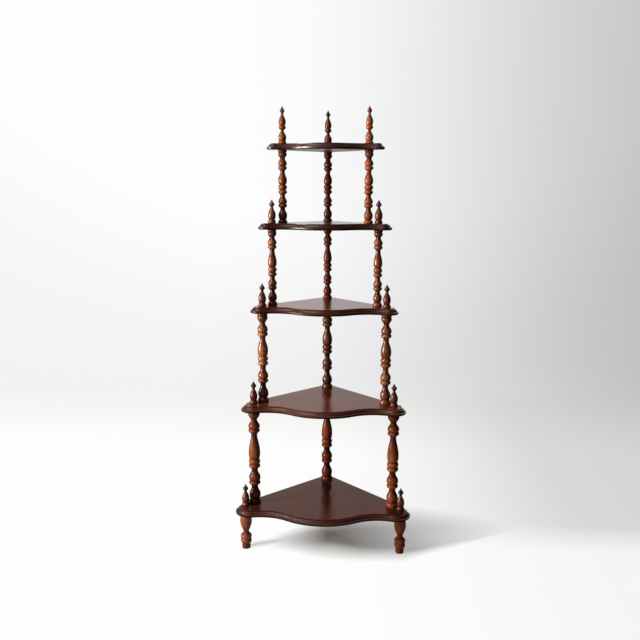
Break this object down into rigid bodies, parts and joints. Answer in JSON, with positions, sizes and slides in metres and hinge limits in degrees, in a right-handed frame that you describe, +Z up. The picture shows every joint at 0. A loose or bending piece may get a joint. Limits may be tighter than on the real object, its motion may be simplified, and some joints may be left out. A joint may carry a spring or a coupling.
{
  "type": "corner etagere",
  "caption": "Free-standing corner etagere with serpentine moulded shelves that shrink towards the top, held by ringed turned spindles, with turned feet and finials.",
  "frame": {"origin": "on the floor, in the middle of the outer box", "axes": "+Z up, +Y into the room corner, +X to the right seen from the front"},
  "size_m": [0.595, 0.4069, 1.4935],
  "materials": {
    "shelf_wood": "gloss",
    "turned_wood": "gloss",
    "steel": "satin"
  },
  "bodies": {
    "root": {"shelf_1": "shelf_wood", "shelf_2": "shelf_wood", "shelf_3": "shelf_wood", "shelf_4": "shelf_wood", "shelf_5": "shelf_wood", "foot_left": "turned_wood", "foot_right": "turned_wood", "foot_rear": "turned_wood", "spindle_1_left": "turned_wood", "spindle_1_right": "turned_wood", "spindle_1_rear": "turned_wood", "spindle_2_left": "turned_wood", "spindle_2_right": "turned_wood", "spindle_2_rear": "turned_wood", "spindle_3_left": "turned_wood", "spindle_3_right": "turned_wood", "spindle_3_rear": "turned_wood", "spindle_4_left": "turned_wood", "spindle_4_right": "turned_wood", "spindle_4_rear": "turned_wood", "finial_1_left": "turned_wood", "finial_1_right": "turned_wood", "finial_2_left": "turned_wood", "finial_2_right": "turned_wood", "finial_3_left": "turned_wood", "finial_3_right": "turned_wood", "finial_4_left": "turned_wood", "finial_4_right": "turned_wood", "top_finial_left": "turned_wood", "top_finial_right": "turned_wood", "top_finial_rear": "turned_wood", "finial_studs_1": "steel", "finial_studs_2": "steel", "finial_studs_3": "steel", "finial_studs_4": "steel", "finial_studs_5": "steel", "spindle_screws_1": "steel", "spindle_screws_2": "steel", "spindle_screws_3": "steel", "spindle_screws_4": "steel"}
  },
  "joints": []
}
